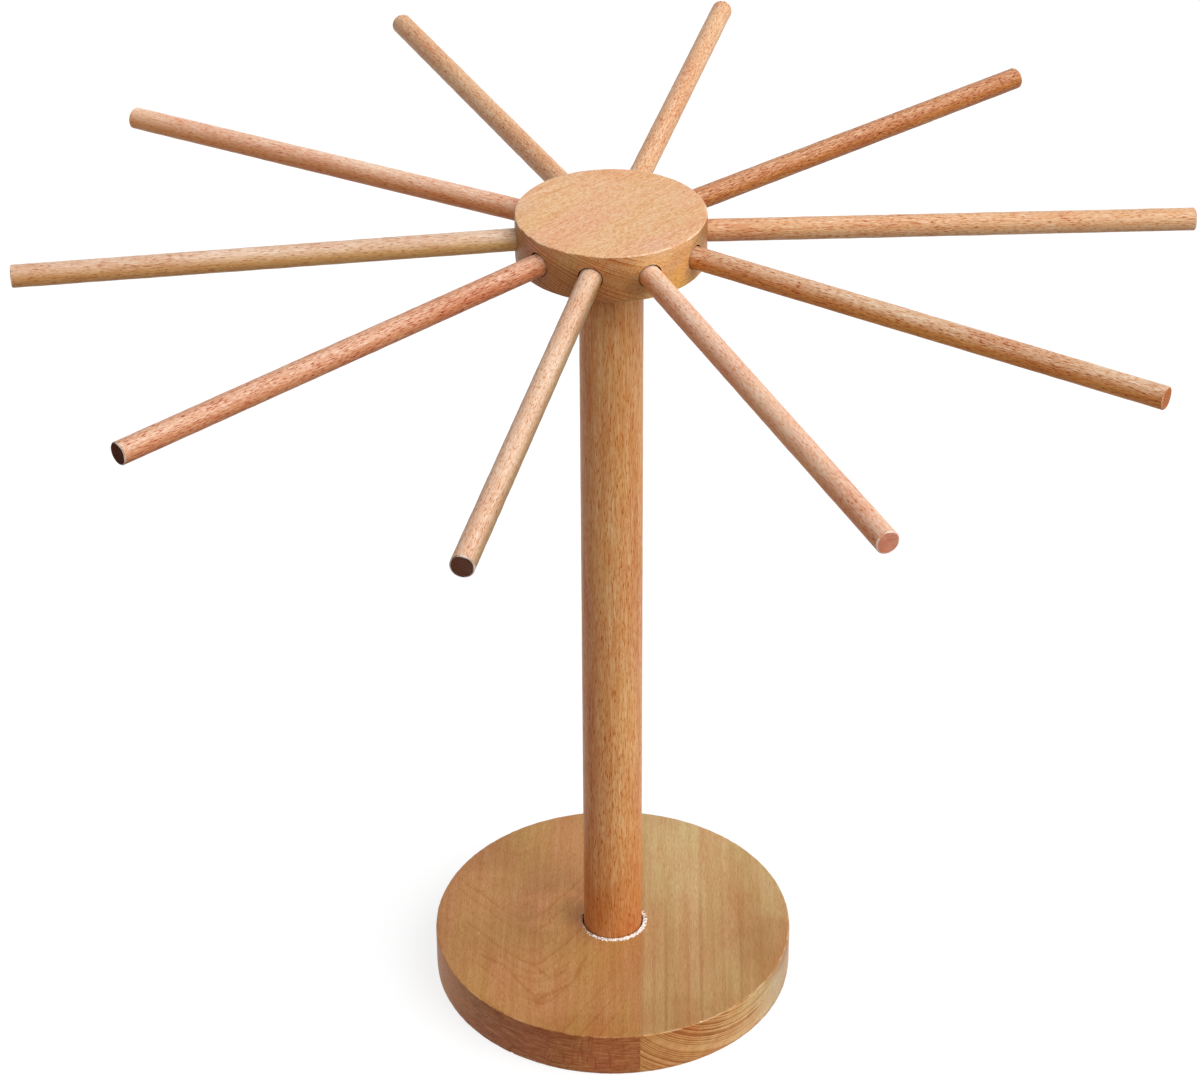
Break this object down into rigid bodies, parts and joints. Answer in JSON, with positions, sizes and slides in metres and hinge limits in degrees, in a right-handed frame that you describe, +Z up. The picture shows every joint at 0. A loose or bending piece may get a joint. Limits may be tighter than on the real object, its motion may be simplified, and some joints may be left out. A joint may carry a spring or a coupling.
{
  "type": "pasta drying rack",
  "caption": "Round wooden base and post carry a turning hub with straight round arms that pull out; fresh pasta hangs over the arms to dry.",
  "frame": {"origin": "middle of the base's underside, on the axis of the post", "axes": "+Z up along the post, -Y the front that the picture was taken from, +X to the right"},
  "size_m": [0.5046, 0.498, 0.4085],
  "materials": {
    "left_board_beech": "satin, oiled",
    "right_board_beech": "satin, oiled",
    "post_beech": "satin, oiled",
    "hub_beech": "satin, oiled",
    "arm_beech": "satin, oiled"
  },
  "bodies": {
    "base": {"base_board_left": "left_board_beech", "base_board_right": "right_board_beech"},
    "post": {"post": "post_beech"},
    "hub": {"hub": "hub_beech"},
    "arm_01": {"arm_01": "arm_beech"},
    "arm_02": {"arm_02": "arm_beech"},
    "arm_03": {"arm_03": "arm_beech"},
    "arm_04": {"arm_04": "arm_beech"},
    "arm_05": {"arm_05": "arm_beech"},
    "arm_06": {"arm_06": "arm_beech"},
    "arm_07": {"arm_07": "arm_beech"},
    "arm_08": {"arm_08": "arm_beech"},
    "arm_09": {"arm_09": "arm_beech"},
    "arm_10": {"arm_10": "arm_beech"}
  },
  "joints": [
    {"name": "post_lift", "type": "slide", "parent": "base", "child": "post", "axis": [0, 0, 1], "range_m": [0, 0.018]},
    {"name": "hub_turn", "type": "hinge", "parent": "post", "child": "hub", "pos_m": [0, 0, 0.387], "axis": [0, 0, 1], "continuous": true},
    {"name": "arm_01_pull", "type": "slide", "parent": "hub", "child": "arm_01", "axis": [-0.2027, -0.9788, -0.0279], "range_m": [0, 0.022]},
    {"name": "arm_02_pull", "type": "slide", "parent": "hub", "child": "arm_02", "axis": [0.4114, -0.911, -0.0279], "range_m": [0, 0.022]},
    {"name": "arm_03_pull", "type": "slide", "parent": "hub", "child": "arm_03", "axis": [0.8683, -0.4953, -0.0279], "range_m": [0, 0.022]},
    {"name": "arm_04_pull", "type": "slide", "parent": "hub", "child": "arm_04", "axis": [0.9936, 0.1097, -0.0279], "range_m": [0, 0.022]},
    {"name": "arm_05_pull", "type": "slide", "parent": "hub", "child": "arm_05", "axis": [0.7393, 0.6728, -0.0279], "range_m": [0, 0.022]},
    {"name": "arm_06_pull", "type": "slide", "parent": "hub", "child": "arm_06", "axis": [0.2027, 0.9788, -0.0279], "range_m": [0, 0.022]},
    {"name": "arm_07_pull", "type": "slide", "parent": "hub", "child": "arm_07", "axis": [-0.4114, 0.911, -0.0279], "range_m": [0, 0.022]},
    {"name": "arm_08_pull", "type": "slide", "parent": "hub", "child": "arm_08", "axis": [-0.8683, 0.4953, -0.0279], "range_m": [0, 0.022]},
    {"name": "arm_09_pull", "type": "slide", "parent": "hub", "child": "arm_09", "axis": [-0.9936, -0.1097, -0.0279], "range_m": [0, 0.022]},
    {"name": "arm_10_pull", "type": "slide", "parent": "hub", "child": "arm_10", "axis": [-0.7393, -0.6728, -0.0279], "range_m": [0, 0.022]}
  ]
}
